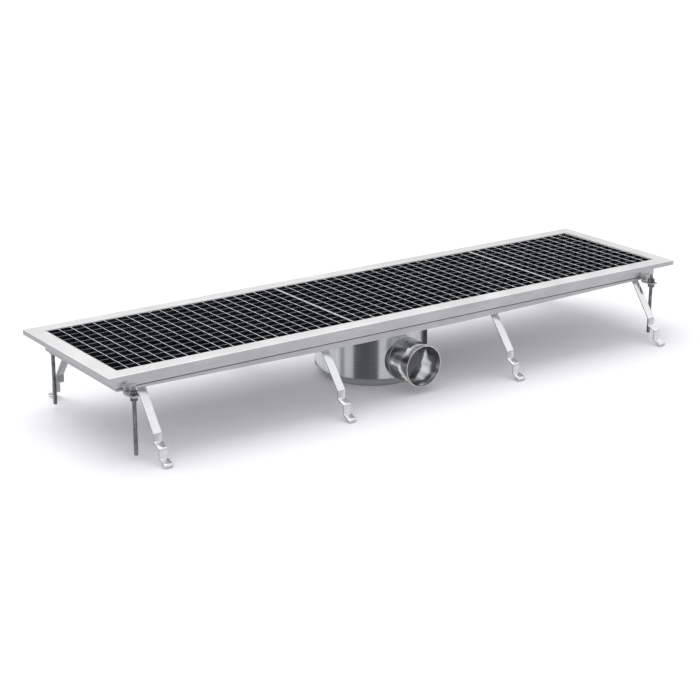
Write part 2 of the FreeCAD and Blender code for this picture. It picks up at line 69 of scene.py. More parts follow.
# %% [markdown]
# ## The camera
# A product picture of a long object is taken from a few metres away with a long lens, so that its far end
# doesn't shrink. The camera stands to the left in front of the channel and looks down on it by about
# eighteen degrees. Its turn and tilt are given as angles, which is easier to read than a matrix.

# %% Camera
FRAME_PIXELS = 700
FOCAL_PIXELS = 1703.39
SENSOR = 36.0
HEADING, TILT, ROLL = 35.3808, 18.2268, 0.1882
STANDPOINT = (-2.5504, -3.4955, 1.4803)
scene = bpy.context.scene


def add_object(name, data):
    """Put a camera, a lamp or a mesh into the scene as an object."""
    added = bpy.data.objects.new(name, data)
    scene.collection.objects.link(added)
    return added


camera_data = bpy.data.cameras.new("camera")
camera_data.sensor_width = SENSOR
camera_data.lens = FOCAL_PIXELS * SENSOR / FRAME_PIXELS
camera = add_object("camera", camera_data)
heading, tilt, roll = (math.radians(angle) for angle in (HEADING, TILT, ROLL))
turn = Matrix.Rotation(-heading, 4, "Z") @ Matrix.Rotation(math.pi / 2 - tilt, 4, "X")
camera.matrix_world = Matrix.Translation(STANDPOINT) @ turn @ Matrix.Rotation(roll, 4, "Z")
bpy.context.scene.camera = camera
print("lens %.1f mm" % camera_data.lens)

# %% [markdown]
# ## Shader maths as Python
# A material in Blender is a graph of nodes, and so is the light of the world. Written by hand, even
# `1 - mask` takes several lines, so one small class wraps a socket and lets Python's operators add the
# Math nodes. A second class holds one graph and makes every other node: its type, its settings, then its
# inputs. A third class is a graph for the metal, round a Principled shader.

# %% Values
class Value:
    """A number that varies over a surface: one output socket of a graph. A shader is one too."""

    def __init__(self, graph, socket):
        self.graph = graph
        self.socket = socket

    def maths(self, operation, *operands):
        return self.graph.node("ShaderNodeMath", {"operation": operation}, dict(enumerate(operands)))

    def __add__(self, other):
        return self.maths("ADD", self, other)

    def __mul__(self, other):
        return self.maths("MULTIPLY", self, other)

    def __sub__(self, other):
        return self.maths("SUBTRACT", self, other)

    def __rsub__(self, other):
        return self.maths("SUBTRACT", other, self)

    __radd__ = __add__
    __rmul__ = __mul__

    def __abs__(self):
        return self.maths("ABSOLUTE", self)

    def above(self, edge):
        """1 where the value is greater than the edge, and 0 elsewhere."""
        return self.maths("GREATER_THAN", self, edge)

    def round_from(self, other):
        """The angle round an axis, from two distances to it."""
        return self.maths("ARCTAN2", self, other)

    def spread(self, low, high, to_low=0.0, to_high=1.0):
        """Map low..high smoothly to the new range, and hold it at both ends."""
        return self.graph.node("ShaderNodeMapRange", {"interpolation_type": "SMOOTHSTEP"},
                               {"Value": self, "From Min": low, "From Max": high,
                                "To Min": to_low, "To Max": to_high}, "Result")


# %% Graphs
class Graph:
    """The nodes of one material or of the world."""

    def __init__(self, owner, empty=True):
        owner.use_nodes = True
        self.owner = owner
        self.tree = owner.node_tree
        if empty:
            self.tree.nodes.clear()

    def node(self, kind, settings=None, inputs=None, output=0):
        """Add a node, and give back one of its outputs. The last node of a graph has none."""
        made = self.tree.nodes.new(kind)
        for key, value in (settings or {}).items():
            setattr(made, key, value)
        for key, value in (inputs or {}).items():
            self.feed(made.inputs[key], value)
        return Value(self, made.outputs[output]) if len(made.outputs) else None

    def feed(self, socket, value):
        """Link a value to a socket, or set a plain number or colour on it."""
        if isinstance(value, Value):
            self.tree.links.new(value.socket, socket)
        elif socket.type == "RGBA":
            socket.default_value = (*value, 1.0)
        else:
            socket.default_value = value

    def axes(self):
        """The point on the object, in metres along X, Y and Z."""
        place = self.node("ShaderNodeTexCoord", output="Object")
        split = self.node("ShaderNodeSeparateXYZ", inputs={0: place})
        return [Value(self, split.socket.node.outputs[name]) for name in ("X", "Y", "Z")]

    def vector(self, x, y, z):
        return self.node("ShaderNodeCombineXYZ", inputs={"X": x, "Y": y, "Z": z})

    def noise(self, vector, scale, detail, rough):
        return self.node("ShaderNodeTexNoise", inputs={"Vector": vector, "Scale": scale,
                                                       "Detail": detail, "Roughness": rough})

    def colour(self, factor, first, second):
        """Fade from one colour to another. The colours of a Mix node are its inputs 6 and 7."""
        return self.node("ShaderNodeMix", {"data_type": "RGBA"}, {0: factor, 6: first, 7: second}, 2)

    def for_rays(self, kind, shader, otherwise):
        """One shader for rays of a kind, and another for all the rest."""
        seen = self.node("ShaderNodeLightPath", output=kind)
        return self.node("ShaderNodeMixShader", inputs={0: seen, 1: otherwise, 2: shader})


class Finish(Graph):
    """One metal of the object, round its Principled shader."""

    def __init__(self, name, metallic=1.0):
        super().__init__(bpy.data.materials.new(name), empty=False)
        self.shader = self.tree.nodes["Principled BSDF"]
        self.set("Metallic", metallic)

    def set(self, name, value):
        self.feed(self.shader.inputs[name], value)

    def bump(self, height, strength, distance=0.0002):
        relief = self.node("ShaderNodeBump", inputs={"Height": height, "Strength": strength,
                                                     "Distance": distance})
        self.set("Normal", relief)


# %% [markdown]
# ## Light and background
# Steel shows what stands round it, so the room matters as much as the metal. The room here is an even
# white sky with one wide sun lamp that gives the soft shadow. The metal sees a second sky, which is
# darker near the horizon: that is why the folded faces at the side look greyer than the rim on top. The
# camera sees plain white.

# %% World
WHITE = (1.0, 1.0, 1.0)
EVEN_SKY = 0.84
SKY_AT_HORIZON, SKY_ABOVE = 0.52, 1.16
RAMP_START, RAMP_END = 0.22, 0.42
scene.view_settings.view_transform = "Standard"
world = bpy.data.worlds.new("room")
scene.world = world
sky = Graph(world)
direction = sky.node("ShaderNodeTexCoord", output="Generated")
height = sky.node("ShaderNodeSeparateXYZ", inputs={0: direction}, output="Z")
mirrored_sky = height.spread(RAMP_START, RAMP_END, SKY_AT_HORIZON, SKY_ABOVE)
even, shine, white = (sky.node("ShaderNodeBackground", inputs={"Color": WHITE, "Strength": strength})
                      for strength in (EVEN_SKY, mirrored_sky, 1.0))
lit = sky.for_rays("Is Glossy Ray", shine, even)
sky.node("ShaderNodeOutputWorld", inputs={"Surface": sky.for_rays("Is Camera Ray", white, lit)})
print("sky %.2f, for the metal %.2f to %.2f" % (EVEN_SKY, SKY_AT_HORIZON, SKY_ABOVE))

# %% Sun
SUN_STRENGTH = 1.25
SUN_WIDTH = 60
SUN_WAY = (0.10, -0.35, -1.0)
sun_data = bpy.data.lights.new("sun", "SUN")
sun_data.energy = SUN_STRENGTH
sun_data.angle = math.radians(SUN_WIDTH)
sun = add_object("sun", sun_data)
sun.rotation_euler = Vector(SUN_WAY).to_track_quat("-Z", "Y").to_euler()
print("sun of strength %.2f, %d degrees wide" % (SUN_STRENGTH, SUN_WIDTH))

# %% [markdown]
# ## Satin sheet steel
# Rolled and pickled stainless sheet has no paint, so its look comes from three things: fine lines along
# the direction of rolling, cloudy patches that are a little duller, and the mirror of the room. The lines
# are a noise texture that is stretched along one axis. On the rim, the lines run along each side, and
# they change direction at the mitre in each corner, where the seam is ground flush. On the pan, the lap
# under the side walls is always in shadow, so its edge is drawn as a thin dark line.

# %% Sheet finish
STRETCHED, FINE = 4.0, 900.0
DARK_SHARE = 0.86
SEAM_SHADE = (0.16, 0.16, 0.18)
SEAM_FADE, SEAM_EDGE, SKIN = 0.0034, 0.0022, 0.0003


def satin_sheet(name, shade, roughness, mitre=None, seam_level=None, metallic=1.0):
    """Rolled sheet. With a mitre, the lines turn at the corners of a rim of that half length and width.
    Given the level of the wall foot, the long sides of the pan get a painted shadow of the lap from just
    below it."""
    steel = Finish(name, metallic)
    x, y, z = steel.axes()
    lines = steel.noise(steel.vector(x * STRETCHED, y * FINE, z * FINE), 1.0, 3.0, 0.6)
    if mitre:
        along_y = steel.noise(steel.vector(x * FINE, y * STRETCHED, z * FINE), 1.0, 3.0, 0.6)
        at_end = (mitre[1] - abs(y)).above(mitre[0] - abs(x))
        lines = lines * (1.0 - at_end) + along_y * at_end
    clouds = steel.noise(steel.vector(x, y, z), 7.0, 4.0, 0.55)
    stains = steel.noise(steel.vector(x, y, z), 38.0, 3.0, 0.6)
    tone = clouds * 0.55 + lines * 0.3 + stains * 0.15
    dark = tuple(channel * DARK_SHARE for channel in shade)
    colour = steel.colour(tone.spread(0.34, 0.66), dark, shade)
    dullness = roughness - 0.05 + clouds * 0.1 + lines * 0.09
    if seam_level:
        # Painted shadow: the lap under the side walls, as a dark band on the long sides of the pan.
        on_long_side = abs(y).above(pan_high.y - SKIN)
        painted_lap_shadow = z.spread(seam_level - SEAM_FADE, seam_level - SEAM_EDGE) * on_long_side
        colour = steel.colour(painted_lap_shadow, colour, SEAM_SHADE)
        dullness = dullness + painted_lap_shadow * 0.2
    steel.set("Base Color", colour)
    steel.set("Roughness", dullness)
    steel.bump(lines * 0.6 + clouds * 0.4, 0.16)
    return steel.owner


half_rim = ((rim_high.x - rim_low.x) / 2, (rim_high.y - rim_low.y) / 2)
RIM_STEEL = satin_sheet("rim_steel", (0.90, 0.90, 0.905), 0.27, half_rim)
PAN_STEEL = satin_sheet("pan_steel", (0.80, 0.80, 0.82), 0.3, seam_level=rim_low.z)
STRAP_STEEL = satin_sheet("strap_steel", (0.79, 0.80, 0.805), 0.13, metallic=0.82)
BRACKET_STEEL = satin_sheet("bracket_steel", (0.80, 0.80, 0.81), 0.38)
print("half rim", [round(v, 4) for v in half_rim])

# %% [markdown]
# ## Turned and brushed steel
# The pot and the outlet pipe were brushed while they turned, so their lines run round them. The angle
# round the axis goes into the noise with a small scale, and the height with a large one. Such a surface
# is smoother than the sheet, and it stretches each reflection into a band along the axis. On the pipe,
# the streaks are strong enough to be painted reflection bands as well as brushing. The foot of the pot
# is painted paler, as painted light where it mirrors the shaded floor, and it is duller.

# %% Turned finish
# Painted light: the paler tone of the pot's foot, which mirrors the shaded floor.
PAINTED_FOOT_LIGHT = (0.86, 0.88, 0.90)
FOOT_HEIGHT = 0.025
FOOT_EDGE = 0.0005


def turned_steel(name, shade, roughness, axis="Z", centre=(0.0, 0.0), contrast=0.18,
                 streak_scale=7.0, streak_start=0.5, spread=0.13, foot=None):
    """Brushed round an upright axis, or round a level one along Y, that passes through the centre. The
    contrast is how much darker the dark bands are than the shade; a high contrast paints reflection
    bands. Below the foot's height, the sheet is painted paler, as painted light."""
    steel = Finish(name)
    x, y, z = steel.axes()
    second, along = (y, z) if axis == "Z" else (z, y)
    round_it = (x - centre[0]).round_from(second - centre[1])
    lines = steel.noise(steel.vector(round_it * 1.5, along * FINE, 0.0), 1.0, 3.0, 0.6)
    clouds = steel.noise(steel.vector(x, y, z), 9.0, 4.0, 0.55)
    # Brushed streaks; at a high contrast they are painted reflection bands as well.
    streaks = steel.noise(steel.vector(round_it * streak_scale, along * 3.0, streak_start), 1.0, 2.0, 0.5)
    tone = clouds * 0.15 + lines * 0.25 + streaks * 0.6
    dark = tuple(channel * (1.0 - contrast) for channel in shade)
    colour = steel.colour(tone.spread(0.5 - spread, 0.5 + spread), dark, shade)
    dullness = roughness - 0.04 + lines * 0.08 + clouds * 0.06
    if foot:
        # Painted light: the foot is painted paler where it mirrors the shaded floor.
        painted_foot_light = z.spread(foot - FOOT_EDGE, foot + FOOT_EDGE, 1.0, 0.0)
        colour = steel.colour(painted_foot_light, colour, PAINTED_FOOT_LIGHT)
        dullness = dullness + painted_foot_light * 0.2
    steel.set("Base Color", colour)
    steel.set("Roughness", dullness)
    steel.bump(lines * 0.7 + clouds * 0.3, 0.12)
    return steel.owner


POT_STEEL = turned_steel("pot_steel", (0.60, 0.62, 0.64), 0.23, contrast=0.16, foot=FOOT_HEIGHT)
# The pipe's high-contrast streaks are painted reflection bands as well as brushing.
PIPE_STEEL = turned_steel("pipe_steel", (0.84, 0.85, 0.865), 0.15, "Y", pipe_axis, contrast=0.88,
                          streak_scale=2.6, streak_start=3.7, spread=0.14)
INSERT_STEEL = turned_steel("insert_steel", (0.66, 0.67, 0.68), 0.3)
print("pipe axis at X %.1f mm, Z %.1f mm" % (pipe_axis[0] / MM, pipe_axis[1] / MM))

# %% [markdown]
# ## Bars, threads, nuts and welds
# The bars of the mesh are pickled after welding, which leaves them grey and a little rough. Their flanks
# are painted near black, as painted shade down in the cells. Threaded bar has dark oil left in its
# grooves, and the nuts are oiled too. A weld bead is rippled and dull. Each gets its own finish from
# the same tools.

# %% Small-part finishes
def bar_steel(name, dark, pale, metallic=1.0):
    """Pickled bars, between a dark and a pale tone. A metallic below one goes with the near-black flanks,
    which are painted shade in the cells.
    """
    steel = Finish(name, metallic)
    x, y, z = steel.axes()
    grain = steel.noise(steel.vector(x, y, z), 420.0, 3.0, 0.6)
    clouds = steel.noise(steel.vector(x, y, z), 11.0, 3.0, 0.5)
    tone = grain * 0.5 + clouds * 0.5
    steel.set("Base Color", steel.colour(tone.spread(0.35, 0.65), dark, pale))
    steel.set("Roughness", 0.30 + grain * 0.16)
    steel.bump(grain, 0.2, 0.0001)
    return steel.owner


def thread_steel(name, dark, pale):
    """Rolled thread, with patches of dark oil film."""
    steel = Finish(name)
    x, y, z = steel.axes()
    grain = steel.noise(steel.vector(x * 1500.0, y * 1500.0, z * 200.0), 1.0, 2.0, 0.5)
    clouds = steel.noise(steel.vector(x, y, z), 60.0, 3.0, 0.5)
    steel.set("Base Color", steel.colour(clouds.spread(0.3, 0.7), dark, pale))
    steel.set("Roughness", 0.28 + grain * 0.14)
    steel.bump(grain, 0.15, 0.0001)
    return steel.owner


def nut_steel(name, dark, pale):
    """Turned and oiled, with fine lines round the nut and spots of oil."""
    steel = Finish(name)
    x, y, z = steel.axes()
    grain = steel.noise(steel.vector(x * 300.0, y * 300.0, z * 2500.0), 1.0, 2.0, 0.5)
    spots = steel.noise(steel.vector(x, y, z), 240.0, 2.0, 0.5)
    steel.set("Base Color", steel.colour(spots.spread(0.35, 0.65), dark, pale))
    steel.set("Roughness", 0.22 + grain * 0.12)
    steel.bump(grain, 0.12, 0.0001)
    return steel.owner


def weld_steel(name, dark, pale):
    """A weld bead after pickling: rippled, dull and darker than the sheet."""
    steel = Finish(name)
    x, y, z = steel.axes()
    ripple = steel.noise(steel.vector(x, y, z), 500.0, 3.0, 0.6)
    steel.set("Base Color", steel.colour(ripple, dark, pale))
    steel.set("Roughness", 0.42 + ripple * 0.14)
    steel.bump(ripple, 0.4, 0.0003)
    return steel.owner


# Near-black flanks: painted shade down in the cells of the mesh.
BAR_FLANKS = bar_steel("bar_flanks", (0.009, 0.011, 0.015), (0.022, 0.026, 0.034), metallic=0.35)
BEARING_CROWNS = bar_steel("bearing_crowns", (0.63, 0.64, 0.65), (0.86, 0.87, 0.88))
# The cross crowns are darker than the bearing crowns: painted shade on the same steel.
CROSS_CROWNS = bar_steel("cross_crowns", (0.26, 0.27, 0.28), (0.46, 0.47, 0.48))
CUT_STEEL = bar_steel("cut_steel", (0.86, 0.865, 0.87), (0.95, 0.95, 0.955))
THREAD_STEEL = thread_steel("thread_steel", (0.30, 0.32, 0.34), (0.50, 0.52, 0.54))
NUT_STEEL = nut_steel("nut_steel", (0.09, 0.095, 0.105), (0.28, 0.29, 0.30))
WELD_STEEL = weld_steel("weld_steel", (0.30, 0.30, 0.31), (0.50, 0.50, 0.51))
print("materials so far:", len(bpy.data.materials))

# %% [markdown]
# ## From points to a piece
# Every finer piece ends the same way: points and faces become a mesh, the mesh gets its finish, the
# piece is hung from an empty for the body it moves with, and the solids it stands for are hidden.

# %% Piece maker
SMOOTH_ANGLE = math.radians(32)


def mesh_of(name, points, faces):
    """A mesh from points in millimetres."""
    mesh = bpy.data.meshes.new(name)
    mesh.from_pydata([Vector(point) * MM for point in points], [], faces)
    return mesh


def make_piece(name, points, faces, finish, smooth=True, body=CHANNEL, stands_for=(), merge=None):
    """A piece that rides on a body and may stand for solids of the model. Its normals all face out."""
    mesh = mesh_of(name, points, faces)
    work = bmesh.new()
    work.from_mesh(mesh)
    if merge:
        bmesh.ops.remove_doubles(work, verts=work.verts, dist=merge * MM)
    bmesh.ops.recalc_face_normals(work, faces=work.faces)
    work.to_mesh(mesh)
    work.free()
    mesh.materials.append(finish)
    if smooth:
        mesh.shade_smooth()
        mesh.set_sharp_from_angle(angle=SMOOTH_ANGLE)
    piece = add_object(name, mesh)
    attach(piece, body)
    if stands_for:
        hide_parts(*stands_for)
    return piece


def add_finishes(piece, finishes, face_finish):
    """Give a piece more finishes, and each of its faces the number of one of them."""
    for finish in finishes:
        piece.data.materials.append(finish)
    piece.data.polygons.foreach_set("material_index", face_finish)


# %% Soft edges
def finish_modifiers(piece):
    """Turn a piece's modifiers into plain mesh, and smooth its shallow edges again."""
    bpy.context.view_layer.update()
    graph = bpy.context.evaluated_depsgraph_get()
    final = bpy.data.meshes.new_from_object(piece.evaluated_get(graph))
    piece.modifiers.clear()
    piece.data = final
    final.shade_smooth()
    final.set_sharp_from_angle(angle=SMOOTH_ANGLE)


def soften(piece, width, segments=2, angle=50):
    """Round a piece's sharp edges by a small bevel, as every cut or folded edge really is."""
    bevel = piece.modifiers.new("edge", "BEVEL")
    bevel.width = width * MM
    bevel.segments = segments
    bevel.limit_method = "ANGLE"
    bevel.angle_limit = math.radians(angle)
    bevel.harden_normals = False
    finish_modifiers(piece)


# %% [markdown]
# ## Solids that keep their shape
# The rim, the pan, the pot, the trap and the basket are right as they come from the solid model. They only
# change their material.

# %% Finishes for the solids
KEPT_SOLIDS = (("rim_frame", RIM_STEEL), ("sloped_pan", PAN_STEEL), ("gully_pot", POT_STEEL),
               ("trap_funnel", INSERT_STEEL), ("trap_cup", INSERT_STEEL), ("sediment_basket", INSERT_STEEL))
for node_name, finish in KEPT_SOLIDS:
    for slot in nodes[node_name].material_slots:
        slot.material = finish
print("solids with a finish of their own:", len(KEPT_SOLIDS))

# %% [markdown]
# ## Mesh gratings
# In a press-locked grating the thin cross bars are pushed into slots in the bearing bars until all crowns
# are flush. As a mesh this is a grid: lines of bars in both directions, solid where a bar is and open in
# the cells. The grid is built in two layers, because the cross bars are shallow and the bearing bars go
# all the way down. Only faces between steel and air are made, so no face lies inside another. The crowns
# get a paler finish than the flanks, which are painted near black as painted shade down in the cells. The
# crowns of the cross bars are painted darker than those of the bearing bars, which is painted shade too.

# %% Rows of bars
BEARING = 1.5
BINDING = 1.8
EDGE = 2.0
PITCH = 31.5
CROSS_DEPTH = 10.0


def bar_lines(low, high, thickness):
    """The levels where a row of bars starts and ends, and whether steel follows each level. The row has
    an edge bar at both ends, and as many bars between them as the pitch allows."""
    count = round((high - low) / PITCH) - 1
    lines = [(low, low + EDGE)]
    for index in range(count):
        centre = (low + high) / 2 + (index - (count - 1) / 2) * PITCH
        lines.append((centre - thickness / 2, centre + thickness / 2))
    lines.append((high - EDGE, high))
    levels = [level for line in lines for level in line]
    return levels, [index % 2 == 0 for index in range(len(levels) - 1)]


print("mesh: pitch %.1f mm, cells %.1f mm wide" % (PITCH, PITCH - BEARING))

# %% Lattice
FLANK, BEARING_CROWN, CROSS_CROWN = 0, 1, 2
LAYERS = 2
BOX_SIDES = (
    ((1, 0, 0), ((1, 0, 0), (1, 1, 0), (1, 1, 1), (1, 0, 1))),
    ((-1, 0, 0), ((0, 0, 0), (0, 0, 1), (0, 1, 1), (0, 1, 0))),
    ((0, 1, 0), ((0, 1, 0), (0, 1, 1), (1, 1, 1), (1, 1, 0))),
    ((0, -1, 0), ((0, 0, 0), (1, 0, 0), (1, 0, 1), (0, 0, 1))),
    ((0, 0, 1), ((0, 0, 1), (1, 0, 1), (1, 1, 1), (0, 1, 1))),
    ((0, 0, -1), ((0, 0, 0), (0, 1, 0), (1, 1, 0), (1, 0, 0))),
)


def lattice(low, high):
    """Points and faces of one grating between two corners, and the finish of each face."""
    xs, bearing = bar_lines(low.x, high.x, BEARING)
    ys, binding = bar_lines(low.y, high.y, BINDING)
    zs = [low.z, high.z - CROSS_DEPTH, high.z]
    edge_rows = (0, len(binding) - 1)

    def steel(column, row, layer):
        if not (0 <= column < len(bearing) and 0 <= row < len(binding) and 0 <= layer < LAYERS):
            return False
        return bearing[column] or row in edge_rows or (layer == LAYERS - 1 and binding[row])

    points, faces, finishes = [], [], []
    index_of = {}

    def corner(column, row, layer):
        place = (column, row, layer)
        if place not in index_of:
            index_of[place] = len(points)
            points.append((xs[column], ys[row], zs[layer]))
        return index_of[place]

    for column, row, layer in itertools.product(range(len(bearing)), range(len(binding)), range(LAYERS)):
        if not steel(column, row, layer):
            continue
        crown = BEARING_CROWN if bearing[column] or row in edge_rows else CROSS_CROWN
        for (right, back, up), ring in BOX_SIDES:
            if not steel(column + right, row + back, layer + up):
                faces.append([corner(column + a, row + b, layer + c) for a, b, c in ring])
                finishes.append(crown if up == 1 else FLANK)
    return points, faces, finishes


# %% The three gratings
CROWN_BEVEL = 0.3
for side in ("left", "middle", "right"):
    low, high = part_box("grating_" + side)
    points, faces, finishes = lattice(low / MM, high / MM)
    grating = make_piece("mesh_" + side, points, faces, BAR_FLANKS, smooth=False,
                         stands_for=("grating_" + side, "binding_bars_" + side))
    add_finishes(grating, (BEARING_CROWNS, CROSS_CROWNS), finishes)
    soften(grating, CROWN_BEVEL, segments=1, angle=60)
    print(side, "grating:", len(grating.data.polygons), "faces")

# %% [markdown]
# ## Threaded rods
# A thread is a groove that climbs as it goes round. Walking round the rod in equal steps and lifting each
# step by its share of the pitch makes one mesh that closes on itself one pitch higher. At both ends the
# points are held at the sawn face, and the doubled ones are merged. Near each end the thread runs out to a
# small chamfer.

# %% Rod maker
THREAD_PITCH = 1.5
CREST = 5.0
ROOT = 4.2
THREAD_FORM = ((0.0, ROOT), (0.25, ROOT), (0.5, CREST), (0.8, CREST))
SAWN_RADIUS = ROOT - 0.3
CHAMFER_RISE = 0.8
ROD_STEPS = 20
SPARE_TURNS = 3
MERGE = 0.002


def round_point(centre, radius, angle, level):
    """A point at an angle round an upright axis."""
    return (centre.x / MM + radius * math.cos(angle), centre.y / MM + radius * math.sin(angle), level)


def threaded_rod(centre, low, high):
    """Points and faces of a rod. Its rows reach a turn past both ends, and are held there."""
    angles = [2 * math.pi * step / ROD_STEPS for step in range(ROD_STEPS)]
    turns = int((high - low) / THREAD_PITCH) + SPARE_TURNS
    rows = [((turn_number - 1 + share) * THREAD_PITCH, radius)
            for turn_number in range(turns) for share, radius in THREAD_FORM]
    points = []
    for row_level, radius in rows:
        for step, angle in enumerate(angles):
            level = low + row_level + THREAD_PITCH * step / ROD_STEPS
            held = min(max(level, low), high)
            to_end = min(held - low, high - held)
            reach = min(radius, SAWN_RADIUS + to_end * CHAMFER_RISE)
            points.append(round_point(centre, reach, angle, held))
    faces = []
    for row in range(len(rows) - 1):
        for step in range(ROD_STEPS):
            here = row * ROD_STEPS + step
            if step < ROD_STEPS - 1:
                faces.append((here, here + 1, here + ROD_STEPS + 1, here + ROD_STEPS))
            elif row + len(THREAD_FORM) + 1 < len(rows):
                wrapped = (row + len(THREAD_FORM)) * ROD_STEPS
                faces.append((here, wrapped, wrapped + ROD_STEPS, here + ROD_STEPS))
    for end in (low, high):
        middle = len(points)
        points.append(round_point(centre, 0.0, 0.0, end))
        points += [round_point(centre, SAWN_RADIUS, angle, end) for angle in angles]
        for step in range(ROD_STEPS):
            faces.append((middle, middle + 1 + step, middle + 1 + (step + 1) % ROD_STEPS))
    return points, faces


print("thread: %.1f mm deep, pitch %.1f mm" % (CREST - ROOT, THREAD_PITCH))

# %% The four rods
CORNERS = ("front_left", "back_left", "front_right", "back_right")
leg_axis = {}
for corner_name in CORNERS:
    low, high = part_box("leg_rod_" + corner_name)
    centre = (low + high) / 2
    leg_axis[corner_name] = centre
    points, faces = threaded_rod(centre, low.z / MM, high.z / MM)
    rod = make_piece("rod_" + corner_name, points, faces, THREAD_STEEL,
                     body="leg_" + corner_name, stands_for=("leg_rod_" + corner_name,), merge=MERGE)
print("rods:", len(rod.data.polygons), "faces each")

# %% [markdown]
# ## Nuts and washers
# A nut is a hexagon whose corners are turned off by a cone on both faces. Going round it in small steps,
# the edge of each face dips where the hexagon reaches furthest out. Each nut sits on a flat washer, and
# the pair has the height that the solid model gives it.

# %% Turned rings
RING_STEPS = 48


def rings_to_faces(count, steps, start):
    """Faces between rings of points, one ring after another, and from the last to the first."""
    faces = []
    for ring in range(count):
        following = (ring + 1) % count
        for step in range(steps):
            beside = (step + 1) % steps
            faces.append((start + ring * steps + step, start + ring * steps + beside,
                          start + following * steps + beside, start + following * steps + step))
    return faces


def ring_solid(centre, outline, start):
    """Turn a closed outline of radius and height. Each may depend on the angle."""
    points = []
    for radius, level in outline:
        for step in range(RING_STEPS):
            angle = 2 * math.pi * step / RING_STEPS
            points.append(round_point(centre, radius(angle) if callable(radius) else radius, angle,
                                      level(angle) if callable(level) else level))
    return points, rings_to_faces(len(outline), RING_STEPS, start)


# %% Nut and washer
NUT_FLATS = 17.0
FACE_RADIUS = 8.0
FACE_RIM = 0.15
CORNER_CONE = math.radians(30)
BORE = 5.05
BORE_CHAMFER = 0.7
WASHER_WIDTH, WASHER_THICK = 21.0, 2.0
WASHER_PLAY = 0.4
WASHER_EDGE = 0.25


def hexagon(angle):
    """How far a nut reaches at an angle."""
    return NUT_FLATS / 2 / math.cos((angle % (math.pi / 3)) - math.pi / 6)


def dip(angle):
    """How far the edge of a nut's face lies below the face at an angle."""
    return max(0.0, hexagon(angle) - NUT_FLATS / 2 + FACE_RIM) * math.tan(CORNER_CONE)


def nut_and_washer(centre, low, high, washer_below, start):
    """Points and faces of a nut and its washer, which fill the height between two levels."""
    washer_low = low if washer_below else high - WASHER_THICK
    washer_high = washer_low + WASHER_THICK
    nut_low, nut_high = (washer_high, high) if washer_below else (low, washer_low)
    nut = [
        (BORE + BORE_CHAMFER, nut_low), (FACE_RADIUS, nut_low),
        (hexagon, lambda angle: nut_low + dip(angle)),
        (hexagon, lambda angle: nut_high - dip(angle)),
        (FACE_RADIUS, nut_high), (BORE + BORE_CHAMFER, nut_high),
        (BORE, nut_high - BORE_CHAMFER), (BORE, nut_low + BORE_CHAMFER),
    ]
    bore, rim = BORE + WASHER_PLAY, WASHER_WIDTH / 2
    washer = [
        (bore, washer_low), (rim - WASHER_EDGE, washer_low), (rim, washer_low + WASHER_EDGE),
        (rim, washer_high - WASHER_EDGE), (rim - WASHER_EDGE, washer_high), (bore, washer_high),
    ]
    points, faces = ring_solid(centre, nut, start)
    more_points, more_faces = ring_solid(centre, washer, start + len(points))
    return points + more_points, faces + more_faces


print("nut: %.1f mm over its corners" % (2 * hexagon(0.0)))

# %% The nuts above and below the brackets
for level_name, washer_below in (("upper", True), ("lower", False)):
    low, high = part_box("leg_nuts_" + level_name)
    points, faces = [], []
    for corner_name in CORNERS:
        more_points, more_faces = nut_and_washer(leg_axis[corner_name], low.z / MM, high.z / MM,
                                                 washer_below, len(points))
        points += more_points
        faces += more_faces
    make_piece("nuts_" + level_name, points, faces, NUT_STEEL,
               stands_for=("leg_nuts_" + level_name,))
    print(level_name, "nuts from %.1f to %.1f mm" % (low.z / MM, high.z / MM))

# %% [markdown]
# ## Outlet tube
# The outlet is a cut length of welded tube. Its sawn end is deburred, which leaves a narrow bright ring,
# and its root is welded all round to the neck of the pot. Both come from one outline that is turned
# round the level axis of the tube.

# %% Tube, bright end and weld bead
TUBE_STEPS = 96
WALL = 2.0
ROUNDED, ROUNDED_IN = 0.8, 0.7
NEAR_EDGE, NEAR_FACE = 0.25, 0.15
BEAD, BEAD_SHOULDER = 1.6, 1.12
BEAD_TOP, BEAD_FOOT = 0.9, 1.4
PIPE, CUT, BEAD_FINISH = 0, 1, 2
outside = (pipe_high.x - pipe_low.x) / 2 / MM
inside = outside - WALL
mouth, root = pipe_low.y / MM, pipe_high.y / MM
TUBE_OUTLINE = (
    (inside, root, PIPE), (inside, mouth + ROUNDED, CUT), (inside + NEAR_EDGE, mouth + NEAR_FACE, CUT),
    (inside + ROUNDED_IN, mouth, CUT), (outside - ROUNDED_IN, mouth, CUT),
    (outside - NEAR_EDGE, mouth + NEAR_FACE, CUT), (outside, mouth + ROUNDED, PIPE),
    (outside, root - BEAD, BEAD_FINISH), (outside + BEAD_TOP, root - BEAD_SHOULDER, BEAD_FINISH),
    (outside + BEAD_FOOT, root, PIPE),
)
points, finishes = [], []
for radius, level, finish in TUBE_OUTLINE:
    for step in range(TUBE_STEPS):
        angle = 2 * math.pi * step / TUBE_STEPS
        points.append((pipe_axis[0] / MM + radius * math.cos(angle), level,
                       pipe_axis[1] / MM + radius * math.sin(angle)))
    finishes += [finish] * TUBE_STEPS
tube = make_piece("outlet_tube", points, rings_to_faces(len(TUBE_OUTLINE), TUBE_STEPS, 0), PIPE_STEEL,
                  stands_for=("outlet_pipe",))
add_finishes(tube, (CUT_STEEL, WELD_STEEL), finishes)
print("tube: radius %.1f mm, %.1f mm long" % (outside, root - mouth))

# %% [markdown]
# ## Folded strips
# A bracket and a strap are both a flat strip with bends, so one tool makes both: it walks along the
# middle line of the strip, rounds each bend with a short curve, and sets points half a thickness to each
# side. Two copies of that outline, one at each edge of the strip, are joined into a solid.

# %% Middle line of a strip
BEND_STEPS = 5
BEND_ROOM = 0.45


